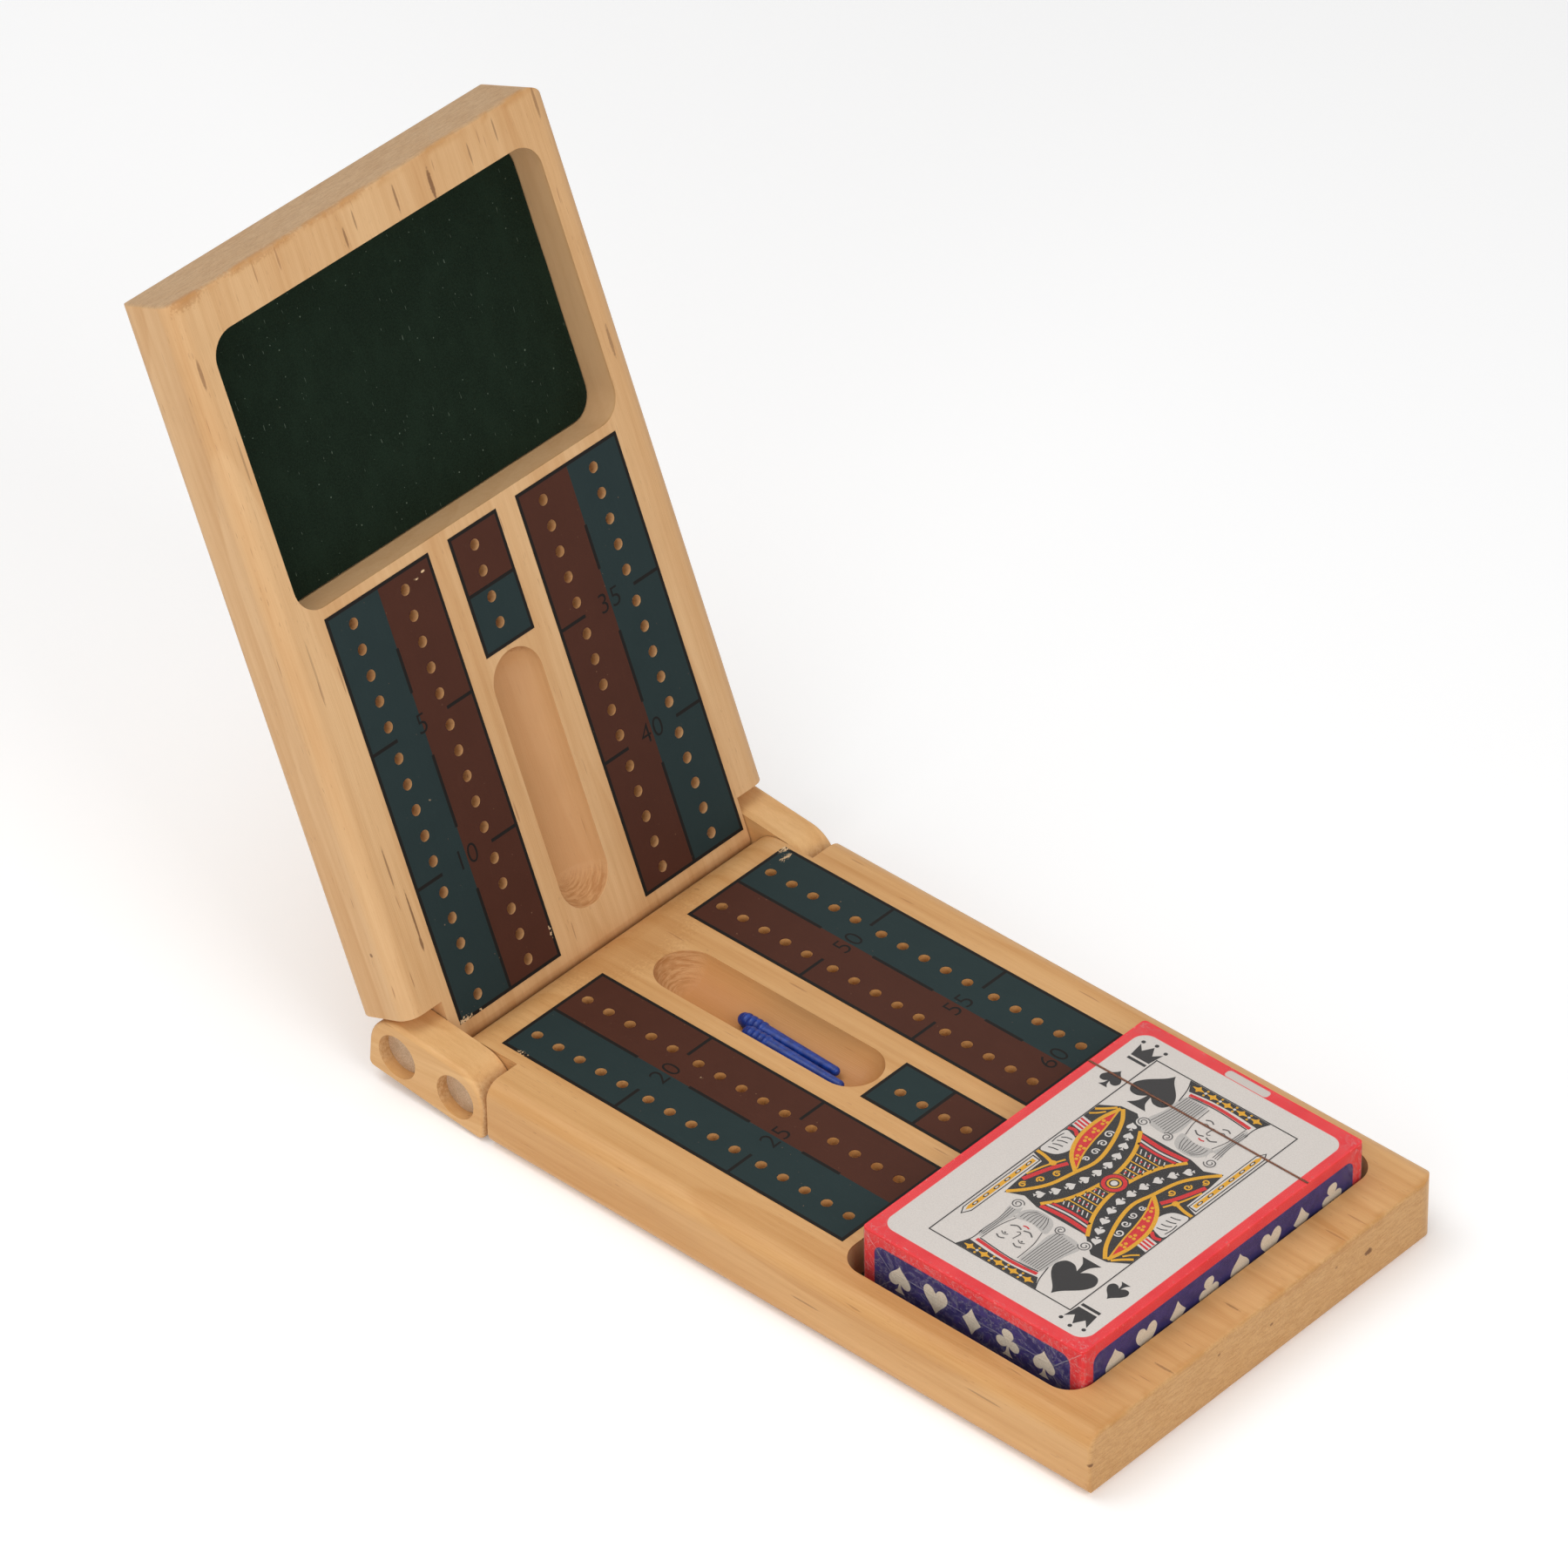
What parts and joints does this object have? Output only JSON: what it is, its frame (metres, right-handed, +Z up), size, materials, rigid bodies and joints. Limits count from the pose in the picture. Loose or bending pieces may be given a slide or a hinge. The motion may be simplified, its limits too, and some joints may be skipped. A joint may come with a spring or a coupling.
{
  "type": "folding cribbage board box",
  "caption": "Folding wooden cribbage board with card recesses, peg slots and a wrapped deck, hinged on two side links.",
  "frame": {"origin": "centre of the lower half's underside, which rests on the table", "axes": "+X from the hinge to the lower half's free end, +Y across the board to the far side, +Z up"},
  "size_m": [0.2707, 0.114, 0.1811],
  "materials": {
    "lower_board": "satin varnish",
    "upper_board": "satin varnish",
    "link_wood": "satin varnish",
    "dowel": "bare end grain",
    "lining": "velvet pile",
    "teal_print": "printed film, satin",
    "brown_print": "printed film, satin",
    "black_print": "printed film, satin",
    "carton": "printed carton",
    "card_stack": "card edges",
    "deck_wrap": "clear film",
    "tear_strip": "thin tape",
    "peg_plastic": "moulded"
  },
  "bodies": {
    "lower_half": {"lower_board": "lower_board", "lower_lining": "lining", "lower_dowel_near": "dowel", "lower_dowel_far": "dowel", "lower_strip_near_teal": "teal_print", "lower_strip_near_brown": "brown_print", "lower_strip_near_lines": "black_print", "lower_strip_far_teal": "teal_print", "lower_strip_far_brown": "brown_print", "lower_strip_far_lines": "black_print", "lower_patch_teal": "teal_print", "lower_patch_brown": "brown_print", "lower_patch_lines": "black_print"},
    "links": {"link_near": "link_wood", "link_far": "link_wood"},
    "upper_half": {"upper_board": "upper_board", "upper_lining": "lining", "upper_dowel_near": "dowel", "upper_dowel_far": "dowel", "upper_strip_near_teal": "teal_print", "upper_strip_near_brown": "brown_print", "upper_strip_near_lines": "black_print", "upper_strip_far_teal": "teal_print", "upper_strip_far_brown": "brown_print", "upper_strip_far_lines": "black_print", "upper_patch_teal": "teal_print", "upper_patch_brown": "brown_print", "upper_patch_lines": "black_print"},
    "deck": {"carton": "carton", "carton_flap": "carton", "card_stack": "card_stack", "deck_wrap": "deck_wrap", "tear_strip": "tear_strip"},
    "far_peg": {"peg_far": "peg_plastic"},
    "near_peg": {"peg_near": "peg_plastic"}
  },
  "joints": [
    {"name": "link_swing", "type": "hinge", "parent": "lower_half", "child": "links", "pos_m": [-0.086, 0, 0.0085], "axis": [0, -1, 0], "range_deg": [-84.47, 5.53]},
    {"name": "board_swing", "type": "hinge", "parent": "links", "child": "upper_half", "pos_m": [-0.10332, 0, 0.01018], "axis": [0, -1, 0], "range_deg": [-26.93, 63.07]},
    {"name": "deck_lift", "type": "slide", "parent": "lower_half", "child": "deck", "axis": [0, 0, 1], "range_m": [0, 0.04]},
    {"name": "far_peg_lift", "type": "slide", "parent": "lower_half", "child": "far_peg", "axis": [0, 0, 1], "range_m": [0, 0.03]},
    {"name": "near_peg_lift", "type": "slide", "parent": "lower_half", "child": "near_peg", "axis": [0, 0, 1], "range_m": [0, 0.03]}
  ]
}
